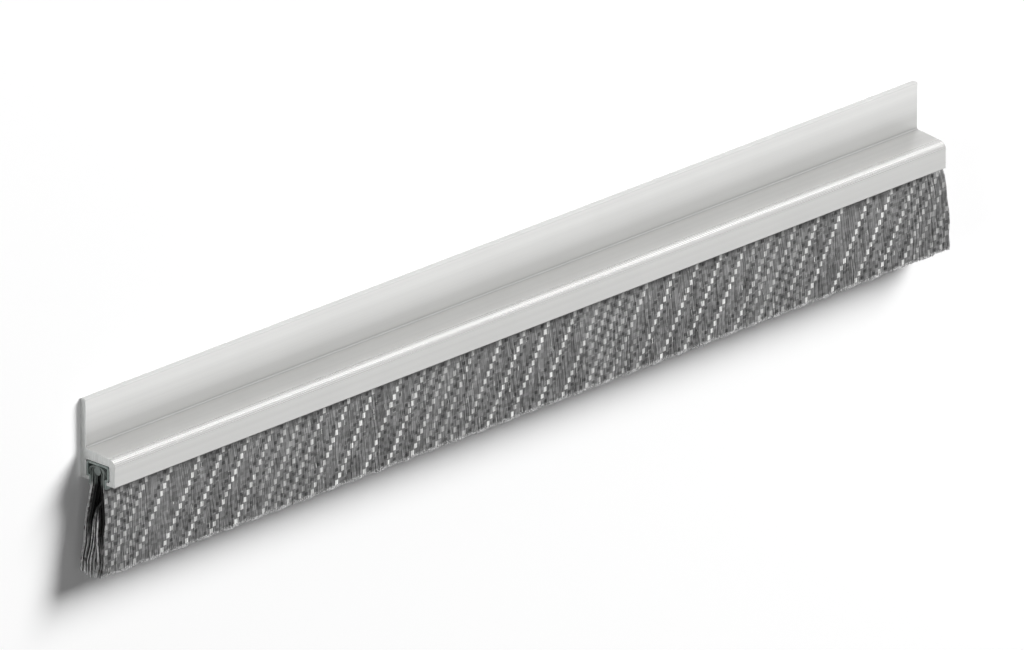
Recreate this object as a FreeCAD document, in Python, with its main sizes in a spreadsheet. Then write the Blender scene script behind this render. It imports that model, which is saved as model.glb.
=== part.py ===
import FreeCAD, Part
import Sketcher
import math
import os

# Brush seal strip, lying on the back of its carrier.
# X runs along the strip, Y from the brush tips to the fixing flange, Z out of the front face.
# Sections are drawn with Y = 0 at the holder's lower edge and Z = 0 at the carrier's back.

SIZES = {
    # whole strip
    "strip_length": 250,
    # carrier
    "wall_thickness": 1.6,
    "flange_height": 10.5,
    "holder_height": 6.8,
    "shoulder_drop": 1.0,
    "cavity_width": 6.6,
    "cavity_height": 3.5,
    "lip_thickness": 0.8,
    "lip_reach": 0.85,
    "shoulder_round": 1.5,
    "junction_round": 0.4,
    "cavity_round": 0.3,
    "edge_round": 0.3,
    # backing
    "backing_sheet": 0.5,
    "bend_inside": 0.12,
    "side_clearance": 0.125,
    "head_clearance": 0.1,
    "neck_clearance": 0.05,
    "neck_drop": 0.9,
    # wire and filaments
    "wire_diameter": 1.8,
    "bundle_clearance": 0.05,
    "brush_height": 20,
    "tip_crown": 1.1,
    "back_flare": 1.3,
    "front_flare": 2.0,
    "end_splay": 2.4,
    "leg_gap": 1.6,
    "leg_gap_swell": 3.0,
    "swell_drop": 4,
    "gap_drop": 13,
    "crimp_pitch": 7.46,
    "crimp_slant": 58,
    "crimp_depth": 0.6,
    "crimp_width": 2.4,
    "crimp_start": 2,
    "trim_allowance": 2,
}

document = FreeCAD.newDocument("brush_seal_strip")
sheet = document.addObject("Spreadsheet::Sheet", "Sizes")
for row, (alias, size) in enumerate(SIZES.items(), 1):
    sheet.set(f"A{row}", alias)
    sheet.set(f"B{row}", str(size))
    sheet.setAlias(f"B{row}", alias)
document.recompute()

# Levels along Y and Z that several pieces share, as expressions on the sheet.
HOLDER_TOP = "Sizes.holder_height"
FLANGE_TOP = "(Sizes.holder_height + Sizes.flange_height)"
SHOULDER_LEVEL = "(Sizes.holder_height - Sizes.shoulder_drop)"
HOLDER_DEPTH = "(2 * Sizes.wall_thickness + Sizes.cavity_width)"
CAVITY_BACK = "Sizes.wall_thickness"
CAVITY_FRONT = "(Sizes.wall_thickness + Sizes.cavity_width)"
CAVITY_FLOOR = "Sizes.lip_thickness"
CAVITY_TOP = "(Sizes.lip_thickness + Sizes.cavity_height)"
SLOT_BACK = f"({CAVITY_BACK} + Sizes.lip_reach)"
SLOT_FRONT = f"({CAVITY_FRONT} - Sizes.lip_reach)"
SLOT_MIDDLE = f"(({SLOT_BACK} + {SLOT_FRONT}) / 2)"

HEAD_TOP = f"({CAVITY_TOP} - Sizes.head_clearance)"
HEAD_BACK = f"({CAVITY_BACK} + Sizes.side_clearance)"
HEAD_FRONT = f"({CAVITY_FRONT} - Sizes.side_clearance)"
NECK_BACK = f"({SLOT_BACK} + Sizes.neck_clearance)"
NECK_FRONT = f"({SLOT_FRONT} - Sizes.neck_clearance)"
NECK_END = "(-Sizes.neck_drop)"

HEAD_INSIDE_TOP = f"({HEAD_TOP} - Sizes.backing_sheet)"
HEAD_INSIDE_FLOOR = f"({CAVITY_FLOOR} + Sizes.backing_sheet)"
HEAD_INSIDE_BACK = f"({HEAD_BACK} + Sizes.backing_sheet)"
HEAD_INSIDE_FRONT = f"({HEAD_FRONT} - Sizes.backing_sheet)"
NECK_INSIDE_BACK = f"({NECK_BACK} + Sizes.backing_sheet)"
NECK_INSIDE_FRONT = f"({NECK_FRONT} - Sizes.backing_sheet)"
WIRE_LEVEL = f"(({HEAD_INSIDE_TOP} + {HEAD_INSIDE_FLOOR}) / 2)"

BUNDLE_TOP = f"({HEAD_INSIDE_TOP} - Sizes.bundle_clearance)"
BUNDLE_FLOOR = f"({HEAD_INSIDE_FLOOR} + Sizes.bundle_clearance)"
BUNDLE_BACK = f"({HEAD_INSIDE_BACK} + Sizes.bundle_clearance)"
BUNDLE_FRONT = f"({HEAD_INSIDE_FRONT} - Sizes.bundle_clearance)"
THROAT_BACK = f"({NECK_INSIDE_BACK} + Sizes.bundle_clearance)"
THROAT_FRONT = f"({NECK_INSIDE_FRONT} - Sizes.bundle_clearance)"
TIP_BACK = f"({THROAT_BACK} - Sizes.back_flare)"
TIP_FRONT = f"({THROAT_FRONT} + Sizes.front_flare)"
TIP_CORNER_LEVEL = "(Sizes.tip_crown - Sizes.brush_height)"
TIP_LEVEL = "(-Sizes.brush_height)"
TIP_MIDDLE = f"(({TIP_BACK} + {TIP_FRONT}) / 2)"
CROWN_HALF_WIDTH = f"(({TIP_FRONT} - {TIP_BACK}) / 2)"
CROWN_RADIUS = f"(({CROWN_HALF_WIDTH}^2 + Sizes.tip_crown^2) / (2 * Sizes.tip_crown))"

# The crimp's hollows are slanted rows on both faces of the brush. A row starts at nothing just
# below the neck and is deepest at the tips. It is longer than the brush is high, and shifts along
# the strip. ROW_START and BACK_ROW_TURN are shares of the way down from the neck to the tips.
ROW_SLANT = "(Sizes.crimp_slant * 1 deg)"
ROW_DROP = f"({NECK_END} - {TIP_CORNER_LEVEL})"
ROW_RUN = f"({ROW_DROP} / sin({ROW_SLANT}))"
ROW_SHIFT = f"({ROW_DROP} / tan({ROW_SLANT}))"
ROW_OVERRUN = "(Sizes.tip_crown + Sizes.trim_allowance)"
ROW_START = f"(Sizes.crimp_start / {ROW_DROP})"
FRONT_ROW_RISE = f"(Sizes.front_flare - Sizes.crimp_depth / (1 - {ROW_START})^2)"
FRONT_ROW_RADIUS = f"(({ROW_RUN}^2 + {FRONT_ROW_RISE}^2) / (2 * {FRONT_ROW_RISE}))"
BACK_ROW_RADIUS = f"(({ROW_RUN}^2 + Sizes.back_flare^2) / (2 * Sizes.back_flare))"
BACK_ROW_LEAN = f"(Sizes.crimp_depth / (1 - {ROW_START}))"
BACK_ROW_TURN = f"({BACK_ROW_LEAN} / (2 * Sizes.back_flare))"
BACK_ROW_PEAK = f"({THROAT_BACK} + Sizes.back_flare * {BACK_ROW_TURN}^2 - {BACK_ROW_LEAN} * {ROW_START})"
ROWS_AHEAD = "(floor((Sizes.strip_length / 2 + Sizes.end_splay) / Sizes.crimp_pitch) + 1)"
ROWS_BEHIND = f"(floor((Sizes.strip_length / 2 + {ROW_SHIFT}) / Sizes.crimp_pitch) + 1)"

# A bend of the sheet: small radius on one side, a sheet more on the other, within its step.
BEND_STEP = "(Sizes.lip_reach + Sizes.neck_clearance - Sizes.side_clearance)"
BEND_INSIDE = f"min(Sizes.bend_inside; {BEND_STEP} / 6)"
BEND_OUTSIDE = f"min(Sizes.bend_inside + Sizes.backing_sheet; 0.8 * {BEND_STEP})"

# The datum moves up or down so that the whole strip is centred on the origin.
DATUM = f"((Sizes.brush_height - {FLANGE_TOP}) / 2)"

NEAR = 1e-4


def value(expression):
    return float(sheet.evalExpression(expression))


def new_body(name):
    body = document.addObject("PartDesign::Body", name)
    body.Label = name
    body.setExpression("Placement.Base.y", DATUM)
    return body


def new_sketch(body, name, plane_role):
    plane = next(part for part in body.Origin.OriginFeatures if part.Role == plane_role)
    sketch = body.newObject("Sketcher::SketchObject", name)
    sketch.AttachmentSupport = [(plane, "")]
    sketch.MapMode = "FlatFace"
    return sketch


def hold(sketch, kind, geometry, point, expression):
    # Distance of one sketch point from the sketch origin, driven by the sheet
    distance = Sketcher.Constraint(kind, -1, 1, geometry, point, value(expression))
    sketch.addConstraint(distance)
    sketch.setExpression(f"Constraints[{sketch.ConstraintCount - 1}]", expression)


def hold_corner(sketch, geometry, point, corner):
    across, up = corner
    if across == "0":
        sketch.addConstraint(Sketcher.Constraint("PointOnObject", geometry, point, -2))
    else:
        hold(sketch, "DistanceX", geometry, point, across)
    if up == "0":
        sketch.addConstraint(Sketcher.Constraint("PointOnObject", geometry, point, -1))
    else:
        hold(sketch, "DistanceY", geometry, point, up)


def spot(corner):
    across, up = corner
    return FreeCAD.Vector(value(across), value(up), 0)


def arc_between(start, end, centre):
    # Counter-clockwise arc about the centre
    first = math.atan2(start.y - centre.y, start.x - centre.x)
    last = math.atan2(end.y - centre.y, end.x - centre.x)
    circle = Part.Circle(centre, FreeCAD.Vector(0, 0, 1), (start - centre).Length)
    return Part.ArcOfCircle(circle, first, last)


def draw_outline(sketch, corners):
    # Closed straight-sided outline, each corner held by two expressions
    first = sketch.GeometryCount
    count = len(corners)
    spots = [spot(corner) for corner in corners]
    for index in range(count):
        sketch.addGeometry(Part.LineSegment(spots[index], spots[(index + 1) % count]), False)
    for index in range(count):
        following = first + (index + 1) % count
        sketch.addConstraint(Sketcher.Constraint("Coincident", first + index, 2, following, 1))
    for index, corner in enumerate(corners):
        hold_corner(sketch, first + index, 1, corner)


def pad(body, sketch, length):
    feature = body.newObject("PartDesign::Pad", sketch.Name + "_pad")
    feature.Profile = sketch
    feature.SideType = "Symmetric"
    feature.setExpression("Length", length)
    document.recompute()
    return feature


def pocket(body, sketch, length):
    before = body.Shape.Volume
    feature = body.newObject("PartDesign::Pocket", sketch.Name + "_pocket")
    feature.Profile = sketch
    feature.SideType = "Symmetric"
    feature.setExpression("Length", length)
    document.recompute()
    if body.Shape.Volume >= before:
        raise RuntimeError(sketch.Name + " removed nothing")
    return feature


def round_edges(body, name, radius, corners):
    # Fillet on the edges that run along X through the given section corners
    base = body.Tip
    spots = [spot(corner) for corner in corners]
    names = []
    for number, edge in enumerate(base.Shape.Edges, 1):
        start = edge.Vertexes[0].Point
        end = edge.Vertexes[-1].Point
        along = abs(start.y - end.y) < NEAR and abs(start.z - end.z) < NEAR
        for corner in spots:
            if along and math.hypot(start.y - corner.x, start.z - corner.y) < NEAR:
                names.append(f"Edge{number}")
    if len(names) != len(corners):
        raise RuntimeError(f"{name}: {len(names)} edges for {len(corners)} corners")
    fillet = body.newObject("PartDesign::Fillet", name)
    fillet.Base = (base, names)
    fillet.setExpression("Radius", radius)
    document.recompute()
    return fillet


def make_carrier():
    body = new_body("carrier_profile")

    outside = new_sketch(body, "carrier_outside", "YZ_Plane")
    draw_outline(outside, [
        ("0", "0"),
        (FLANGE_TOP, "0"),
        (FLANGE_TOP, CAVITY_BACK),
        (HOLDER_TOP, CAVITY_BACK),
        (SHOULDER_LEVEL, HOLDER_DEPTH),
        ("0", HOLDER_DEPTH),
    ])
    pad(body, outside, "Sizes.strip_length")

    # T-shaped hollow: the cavity for the brush's head and the slot between the two lips
    hollow = new_sketch(body, "carrier_hollow", "YZ_Plane")
    draw_outline(hollow, [
        ("0", SLOT_BACK),
        (CAVITY_FLOOR, SLOT_BACK),
        (CAVITY_FLOOR, CAVITY_BACK),
        (CAVITY_TOP, CAVITY_BACK),
        (CAVITY_TOP, CAVITY_FRONT),
        (CAVITY_FLOOR, CAVITY_FRONT),
        (CAVITY_FLOOR, SLOT_FRONT),
        ("0", SLOT_FRONT),
    ])
    pocket(body, hollow, "Sizes.strip_length")

    round_edges(body, "shoulder_corner", "Sizes.shoulder_round", [
        (SHOULDER_LEVEL, HOLDER_DEPTH),
    ])
    round_edges(body, "flange_junction", "Sizes.junction_round", [
        (HOLDER_TOP, CAVITY_BACK),
    ])
    round_edges(body, "cavity_corners", "Sizes.cavity_round", [
        (CAVITY_TOP, CAVITY_BACK),
        (CAVITY_TOP, CAVITY_FRONT),
    ])
    round_edges(body, "outer_edges", "Sizes.edge_round", [
        ("0", "0"),
        (FLANGE_TOP, "0"),
        (FLANGE_TOP, CAVITY_BACK),
        ("0", HOLDER_DEPTH),
        ("0", SLOT_BACK),
        ("0", SLOT_FRONT),
        (CAVITY_FLOOR, SLOT_BACK),
        (CAVITY_FLOOR, SLOT_FRONT),
    ])
    return body


def make_backing():
    body = new_body("backing_channel")

    outside = new_sketch(body, "backing_outside", "YZ_Plane")
    draw_outline(outside, [
        (NECK_END, NECK_BACK),
        (CAVITY_FLOOR, NECK_BACK),
        (CAVITY_FLOOR, HEAD_BACK),
        (HEAD_TOP, HEAD_BACK),
        (HEAD_TOP, HEAD_FRONT),
        (CAVITY_FLOOR, HEAD_FRONT),
        (CAVITY_FLOOR, NECK_FRONT),
        (NECK_END, NECK_FRONT),
    ])
    pad(body, outside, "Sizes.strip_length")

    # One sheet thickness in from the outside all the way, open at the end of the neck
    inside = new_sketch(body, "backing_inside", "YZ_Plane")
    draw_outline(inside, [
        (NECK_END, NECK_INSIDE_BACK),
        (HEAD_INSIDE_FLOOR, NECK_INSIDE_BACK),
        (HEAD_INSIDE_FLOOR, HEAD_INSIDE_BACK),
        (HEAD_INSIDE_TOP, HEAD_INSIDE_BACK),
        (HEAD_INSIDE_TOP, HEAD_INSIDE_FRONT),
        (HEAD_INSIDE_FLOOR, HEAD_INSIDE_FRONT),
        (HEAD_INSIDE_FLOOR, NECK_INSIDE_FRONT),
        (NECK_END, NECK_INSIDE_FRONT),
    ])
    pocket(body, inside, "Sizes.strip_length")

    round_edges(body, "wide_bends", BEND_OUTSIDE, [
        (HEAD_TOP, HEAD_BACK),
        (HEAD_TOP, HEAD_FRONT),
        (CAVITY_FLOOR, HEAD_BACK),
        (CAVITY_FLOOR, HEAD_FRONT),
        (HEAD_INSIDE_FLOOR, NECK_INSIDE_BACK),
        (HEAD_INSIDE_FLOOR, NECK_INSIDE_FRONT),
    ])
    round_edges(body, "tight_bends", BEND_INSIDE, [
        (HEAD_INSIDE_TOP, HEAD_INSIDE_BACK),
        (HEAD_INSIDE_TOP, HEAD_INSIDE_FRONT),
        (HEAD_INSIDE_FLOOR, HEAD_INSIDE_BACK),
        (HEAD_INSIDE_FLOOR, HEAD_INSIDE_FRONT),
        (CAVITY_FLOOR, NECK_BACK),
        (CAVITY_FLOOR, NECK_FRONT),
    ])
    return body


def draw_wire_circle(sketch, radius):
    centre = spot((WIRE_LEVEL, SLOT_MIDDLE))
    circle = Part.Circle(centre, FreeCAD.Vector(0, 0, 1), value(radius))
    sketch.addGeometry(circle, False)
    hold_corner(sketch, 0, 3, (WIRE_LEVEL, SLOT_MIDDLE))
    sketch.addConstraint(Sketcher.Constraint("Radius", 0, value(radius)))
    sketch.setExpression(f"Constraints[{sketch.ConstraintCount - 1}]", radius)


def make_wire():
    body = new_body("core_wire")
    section = new_sketch(body, "wire_section", "YZ_Plane")
    draw_wire_circle(section, "Sizes.wire_diameter / 2")
    pad(body, section, "Sizes.strip_length")
    return body


def draw_bundle_section(sketch):
    # Straight-sided head and throat. Below them the back flares out towards the crowned tip,
    # while the front swells out at once and then runs down nearly straight
    corners = [
        (NECK_END, THROAT_FRONT),
        (BUNDLE_FLOOR, THROAT_FRONT),
        (BUNDLE_FLOOR, BUNDLE_FRONT),
        (BUNDLE_TOP, BUNDLE_FRONT),
        (BUNDLE_TOP, BUNDLE_BACK),
        (BUNDLE_FLOOR, BUNDLE_BACK),
        (BUNDLE_FLOOR, THROAT_BACK),
        (NECK_END, THROAT_BACK),
    ]
    spots = [spot(corner) for corner in corners]
    for start, end in zip(spots, spots[1:]):
        sketch.addGeometry(Part.LineSegment(start, end), False)
    last_line = len(spots) - 2
    back_side = last_line + 1
    crown = last_line + 2
    front_side = last_line + 3

    back_root = spots[-1]
    front_root = spots[0]
    back_tip = spot((TIP_CORNER_LEVEL, TIP_BACK))
    front_tip = spot((TIP_CORNER_LEVEL, TIP_FRONT))
    run = back_root.x - back_tip.x
    back_rise = back_root.y - back_tip.y
    front_rise = front_tip.y - front_root.y
    back_radius = (run ** 2 + back_rise ** 2) / (2 * back_rise)
    front_radius = (run ** 2 + front_rise ** 2) / (2 * front_rise)
    back_centre = FreeCAD.Vector(back_root.x, back_root.y - back_radius, 0)
    front_centre = FreeCAD.Vector(front_tip.x, front_tip.y - front_radius, 0)
    crown_radius = value(CROWN_RADIUS)
    crown_centre = FreeCAD.Vector(value(TIP_LEVEL) + crown_radius, value(TIP_MIDDLE), 0)
    sketch.addGeometry(arc_between(back_root, back_tip, back_centre), False)
    sketch.addGeometry(arc_between(front_tip, back_tip, crown_centre), False)
    sketch.addGeometry(arc_between(front_root, front_tip, front_centre), False)

    for line in range(last_line):
        sketch.addConstraint(Sketcher.Constraint("Coincident", line, 2, line + 1, 1))
    sketch.addConstraint(Sketcher.Constraint("Coincident", last_line, 2, back_side, 1))
    sketch.addConstraint(Sketcher.Constraint("Coincident", back_side, 2, crown, 2))
    sketch.addConstraint(Sketcher.Constraint("Coincident", crown, 1, front_side, 2))
    sketch.addConstraint(Sketcher.Constraint("Coincident", front_side, 1, 0, 1))
    for line, corner in enumerate(corners[:-1]):
        hold_corner(sketch, line, 1, corner)
    hold_corner(sketch, last_line, 2, corners[-1])
    hold_corner(sketch, back_side, 2, (TIP_CORNER_LEVEL, TIP_BACK))
    hold_corner(sketch, front_side, 2, (TIP_CORNER_LEVEL, TIP_FRONT))
    sketch.addConstraint(Sketcher.Constraint("Vertical", back_side, 3, back_side, 1))
    sketch.addConstraint(Sketcher.Constraint("Vertical", front_side, 3, front_side, 2))
    sketch.addConstraint(Sketcher.Constraint("Radius", crown, crown_radius))
    sketch.setExpression(f"Constraints[{sketch.ConstraintCount - 1}]", CROWN_RADIUS)


def draw_fanned_end(sketch, side):
    # Everything beyond one end of the strip; the inner side bows out from the root to the tips
    half = f"({side} * Sizes.strip_length / 2)"
    splayed = f"({side} * (Sizes.strip_length / 2 + Sizes.end_splay))"
    beyond = f"({side} * (Sizes.strip_length / 2 + Sizes.end_splay + 2 * Sizes.trim_allowance))"
    above = f"({BUNDLE_TOP} + Sizes.trim_allowance)"
    below = f"({TIP_LEVEL} - Sizes.trim_allowance)"
    corners = [
        (splayed, TIP_LEVEL),
        (splayed, below),
        (beyond, below),
        (beyond, above),
        (half, above),
        (half, NECK_END),
    ]
    first = sketch.GeometryCount
    spots = [spot(corner) for corner in corners]
    for start, end in zip(spots, spots[1:]):
        sketch.addGeometry(Part.LineSegment(start, end), False)
    last_line = first + len(spots) - 2
    root = spots[-1]
    tip = spots[0]
    run = root.y - tip.y
    rise = abs(tip.x - root.x)
    radius = (run ** 2 + rise ** 2) / (2 * rise)
    centre = FreeCAD.Vector(root.x + side * radius, root.y, 0)
    start, end = (root, tip) if side > 0 else (tip, root)
    sketch.addGeometry(arc_between(start, end, centre), False)
    arc = last_line + 1
    root_end, tip_end = (1, 2) if side > 0 else (2, 1)
    for line in range(first, last_line):
        sketch.addConstraint(Sketcher.Constraint("Coincident", line, 2, line + 1, 1))
    sketch.addConstraint(Sketcher.Constraint("Coincident", last_line, 2, arc, root_end))
    sketch.addConstraint(Sketcher.Constraint("Coincident", arc, tip_end, first, 1))
    for index, corner in enumerate(corners[:-1]):
        hold_corner(sketch, first + index, 1, corner)
    hold_corner(sketch, last_line, 2, corners[-1])
    sketch.addConstraint(Sketcher.Constraint("Horizontal", arc, 3, arc, root_end))


def cut_crimp_row(body, name, level, peak, shift, radius, outward, up, down):
    # V-groove revolved about an axis square to the slanted row. Its root follows a circle of the
    # given radius, which peaks at the given level, and the angles up and down are its two ends.
    # The V is drawn twice as deep and wide as it cuts, so that its mouth clears the surface
    sketch = new_sketch(body, name, "XZ_Plane")
    leaning = FreeCAD.Rotation(FreeCAD.Vector(0, -1, 0), 90 - value("Sizes.crimp_slant"))
    sketch.AttachmentOffset = FreeCAD.Placement(FreeCAD.Vector(0, 0, 0), leaning)
    sketch.setExpression("AttachmentOffset.Base.x", shift)
    sketch.setExpression("AttachmentOffset.Base.y", f"{peak} - {radius}")
    sketch.setExpression("AttachmentOffset.Base.z", f"-{level}")
    sketch.setExpression("AttachmentOffset.Rotation.Angle", f"90 deg - {ROW_SLANT}")
    document.recompute()
    mouth = f"({radius} + {outward} * 2 * Sizes.crimp_depth)"
    draw_outline(sketch, [
        ("0", radius),
        ("Sizes.crimp_width", mouth),
        ("(-Sizes.crimp_width)", mouth),
    ])
    before = body.Shape.Volume
    groove = body.newObject("PartDesign::Groove", name + "_groove")
    groove.Profile = sketch
    groove.ReferenceAxis = (sketch, ["H_Axis"])
    groove.Type = "TwoAngles"
    groove.setExpression("Angle", down)
    groove.setExpression("Angle2", up)
    document.recompute()
    if body.Shape.Volume >= before:
        raise RuntimeError(name + " removed nothing")
    return groove


def repeat_rows(body, name, rows, count, backwards):
    along = next(part for part in body.Origin.OriginFeatures if part.Role == "X_Axis")
    pattern = body.newObject("PartDesign::LinearPattern", name)
    pattern.Originals = rows
    pattern.Direction = (along, [""])
    pattern.Reversed = backwards
    pattern.Mode = "Spacing"
    pattern.setExpression("Offset", "Sizes.crimp_pitch")
    pattern.setExpression("Occurrences", count)
    body.Tip = pattern
    document.recompute()


def make_bristles():
    body = new_body("bristle_curtain")
    section = new_sketch(body, "bundle_section", "YZ_Plane")
    draw_bundle_section(section)
    pad(body, section, "Sizes.strip_length + 2 * (Sizes.end_splay + Sizes.trim_allowance)")

    ends = new_sketch(body, "fanned_ends", "XY_Plane")
    draw_fanned_end(ends, -1)
    draw_fanned_end(ends, 1)
    pocket(body, ends, f"4 * {HOLDER_DEPTH}")

    # Filaments wrap the wire, which leaves a bore through the bundle
    bore = new_sketch(body, "wire_bore", "YZ_Plane")
    draw_wire_circle(bore, "(Sizes.wire_diameter / 2 + Sizes.bundle_clearance)")
    pocket(body, bore, "Sizes.strip_length + 2 * Sizes.trim_allowance")

    # Between the two legs of the folded filaments: open to the wire, widest just below the
    # backing's neck, and closed again further down
    gap = new_sketch(body, "gap_between_legs", "YZ_Plane")
    draw_outline(gap, [
        (WIRE_LEVEL, f"({SLOT_MIDDLE} - Sizes.leg_gap / 2)"),
        (WIRE_LEVEL, f"({SLOT_MIDDLE} + Sizes.leg_gap / 2)"),
        (NECK_END, f"({SLOT_MIDDLE} + Sizes.leg_gap / 2)"),
        ("(-Sizes.swell_drop)", f"({TIP_MIDDLE} + Sizes.leg_gap_swell / 2)"),
        ("(-Sizes.gap_drop)", TIP_MIDDLE),
        ("(-Sizes.swell_drop)", f"({TIP_MIDDLE} - Sizes.leg_gap_swell / 2)"),
        (NECK_END, f"({SLOT_MIDDLE} - Sizes.leg_gap / 2)"),
    ])
    pocket(body, gap, "Sizes.strip_length + 2 * (Sizes.end_splay + Sizes.trim_allowance)")

    round_edges(body, "bundle_corners", BEND_INSIDE, [
        (BUNDLE_TOP, BUNDLE_BACK),
        (BUNDLE_TOP, BUNDLE_FRONT),
        (BUNDLE_FLOOR, BUNDLE_BACK),
        (BUNDLE_FLOOR, BUNDLE_FRONT),
    ])
    round_edges(body, "bundle_throat", BEND_OUTSIDE, [
        (BUNDLE_FLOOR, THROAT_BACK),
        (BUNDLE_FLOOR, THROAT_FRONT),
    ])

    # The front bulges, so its row peaks at the tips; the back is hollow, and its row peaks a little
    # below the neck. Both start in the air outside the brush and then run into it
    front_row = cut_crimp_row(
        body, "front_crimp", TIP_CORNER_LEVEL, f"({TIP_FRONT} - Sizes.crimp_depth)", "0",
        FRONT_ROW_RADIUS, 1,
        f"asin({ROW_RUN} / {FRONT_ROW_RADIUS})",
        f"asin({ROW_OVERRUN} / {FRONT_ROW_RADIUS})")
    back_row = cut_crimp_row(
        body, "back_crimp", f"({NECK_END} - {BACK_ROW_TURN} * {ROW_DROP})", BACK_ROW_PEAK,
        f"((1 - {BACK_ROW_TURN}) * {ROW_SHIFT})", BACK_ROW_RADIUS, -1,
        f"asin({BACK_ROW_TURN} * {ROW_RUN} / {BACK_ROW_RADIUS})",
        f"asin(((1 - {BACK_ROW_TURN}) * {ROW_RUN} + {ROW_OVERRUN}) / {BACK_ROW_RADIUS})")
    repeat_rows(body, "rows_ahead", [front_row, back_row], ROWS_AHEAD, False)
    repeat_rows(body, "rows_behind", [front_row, back_row], ROWS_BEHIND, True)
    return body


pieces = [make_carrier(), make_backing(), make_wire(), make_bristles()]
document.recompute()

for item in document.Objects:
    if "Invalid" in item.State or "Error" in item.State:
        raise RuntimeError(f"{item.Name} failed: {item.State}")
for piece in pieces:
    if piece.Shape.isNull() or not piece.Shape.isValid() or len(piece.Shape.Solids) != 1:
        raise RuntimeError(f"{piece.Label} is not one valid solid")

os.makedirs("parts", exist_ok=True)
for piece in pieces:
    piece.Shape.exportStep(f"parts/{piece.Label}.step")
    box = piece.Shape.optimalBoundingBox(False, False)
    print(f"{piece.Label}: {piece.Shape.Volume / 1000:.2f} cm3, "
          f"x {box.XMin:.2f} {box.XMax:.2f}, y {box.YMin:.2f} {box.YMax:.2f}, "
          f"z {box.ZMin:.2f} {box.ZMax:.2f}")
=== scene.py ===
import math

import bpy
from mathutils import Matrix, Vector


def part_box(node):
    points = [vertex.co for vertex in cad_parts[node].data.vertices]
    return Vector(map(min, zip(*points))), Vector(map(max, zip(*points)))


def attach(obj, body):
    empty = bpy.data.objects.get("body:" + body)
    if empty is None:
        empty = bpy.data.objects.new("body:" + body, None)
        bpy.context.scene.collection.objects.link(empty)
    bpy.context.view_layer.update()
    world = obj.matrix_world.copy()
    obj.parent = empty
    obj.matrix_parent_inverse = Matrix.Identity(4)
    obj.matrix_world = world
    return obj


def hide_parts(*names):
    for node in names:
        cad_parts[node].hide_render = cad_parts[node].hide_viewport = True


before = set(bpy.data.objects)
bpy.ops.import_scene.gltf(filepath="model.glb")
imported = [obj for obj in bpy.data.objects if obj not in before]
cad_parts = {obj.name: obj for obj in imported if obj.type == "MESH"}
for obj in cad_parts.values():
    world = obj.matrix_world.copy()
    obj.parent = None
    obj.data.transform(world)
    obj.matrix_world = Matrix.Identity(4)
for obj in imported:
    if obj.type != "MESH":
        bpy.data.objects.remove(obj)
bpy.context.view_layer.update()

mm = 0.001
scene = bpy.context.scene
scene.view_settings.view_transform = "Standard"

carrierLow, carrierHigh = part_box("carrier_profile")
backingLow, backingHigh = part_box("backing_channel")
wireLow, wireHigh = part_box("core_wire")
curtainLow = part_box("bristle_curtain")[0]
holderEdge = carrierLow.y          # the level where the brush leaves the holder


# Small helpers for node trees

def plug(tree, target, source):
    if isinstance(source, bpy.types.NodeSocket):
        tree.links.new(source, target)
    else:
        target.default_value = source


def feed(tree, node, inputs):
    for name, source in inputs.items():
        plug(tree, node.inputs[name], source)


def addNode(tree, kind, inputs=None, **settings):
    # The settings come first, because they decide which inputs the node has
    node = tree.nodes.new(kind)
    for key, value in settings.items():
        setattr(node, key, value)
    feed(tree, node, inputs or {})
    return node


def calc(tree, operation, *values):
    return addNode(tree, "ShaderNodeMath", dict(enumerate(values)), operation=operation).outputs[0]


def times(tree, first, *others):
    for other in others:
        first = calc(tree, "MULTIPLY", first, other)
    return first


def plus(tree, first, second):
    return calc(tree, "ADD", first, second)


def minus(tree, first, second):
    return calc(tree, "SUBTRACT", first, second)


def limit(tree, value):
    return addNode(tree, "ShaderNodeClamp", {"Value": value}).outputs["Result"]


def ramp(tree, value, low, high, outLow=0.0, outHigh=1.0, smooth=False):
    # A clamped slope from outLow at low to outHigh at high
    node = addNode(tree, "ShaderNodeMapRange", {
        "Value": value, "From Min": low, "From Max": high, "To Min": outLow, "To Max": outHigh,
    }, clamp=True, interpolation_type="SMOOTHSTEP" if smooth else "LINEAR")
    return node.outputs["Result"]


noiseRange = (0.3, 0.7)            # where most values of a noise texture lie


def spread(tree, noise, low, high):
    # A noise texture's usual values, stretched to run from low to high
    return ramp(tree, noise, *noiseRange, low, high)


def blendColours(tree, factor, first, second, mode="MIX"):
    # On a colour Mix node, inputs 6 and 7 and output 2 are the colour ones
    node = addNode(tree, "ShaderNodeMix", {0: factor, 6: first, 7: second},
                   data_type="RGBA", blend_type=mode)
    return node.outputs[2]


def timesGrey(tree, grey, colour):
    # A colour made lighter or darker by a plain value
    greyColour = addNode(tree, "ShaderNodeCombineColor", {"Red": grey, "Green": grey, "Blue": grey})
    return blendColours(tree, 1.0, colour, greyColour.outputs[0], "MULTIPLY")


def addSockets(tree, direction, sockets):
    for name, kind, default in sockets:
        socket = tree.interface.new_socket(name, in_out=direction, socket_type=kind)
        if default is not None:
            socket.default_value = default


def newGroup(name, inputs, outputs):
    group = bpy.data.node_groups.new(name, "ShaderNodeTree")
    addSockets(group, "INPUT", inputs)
    addSockets(group, "OUTPUT", outputs)
    return group, addNode(group, "NodeGroupInput").outputs, addNode(group, "NodeGroupOutput").inputs


def placeGroup(tree, group, **values):
    inputs = {name.replace("_", " "): value for name, value in values.items()}
    return addNode(tree, "ShaderNodeGroup", inputs, node_tree=group).outputs


def newMaterial(name):
    material = bpy.data.materials.new(name)
    material.use_nodes = True
    tree = material.node_tree
    shader = tree.nodes["Principled BSDF"]
    place = addNode(tree, "ShaderNodeTexCoord").outputs["Object"]
    return material, tree, shader, place


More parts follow.
